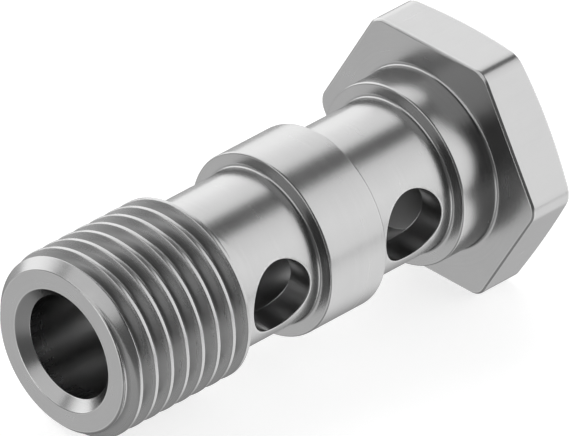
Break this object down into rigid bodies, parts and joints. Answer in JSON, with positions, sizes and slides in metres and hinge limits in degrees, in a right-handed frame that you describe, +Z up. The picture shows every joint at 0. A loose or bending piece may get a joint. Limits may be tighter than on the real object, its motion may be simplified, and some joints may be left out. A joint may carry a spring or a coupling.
{
  "type": "banjo bolt",
  "caption": "Hollow hexagon-headed bolt that clamps stacked ring fittings to a port and carries fluid to them through cross holes in its necks.",
  "frame": {"origin": "on the bolt's axis, in the plane of the bearing face under the head", "axes": "+X along the axis from the threaded end to the head, +Z up through one flat of the hexagon, cross holes along Y"},
  "size_m": [0.04, 0.0212, 0.0186],
  "materials": {
    "steel": "satin turned metal"
  },
  "bodies": {
    "root": {"banjo_bolt": "steel"}
  },
  "joints": []
}
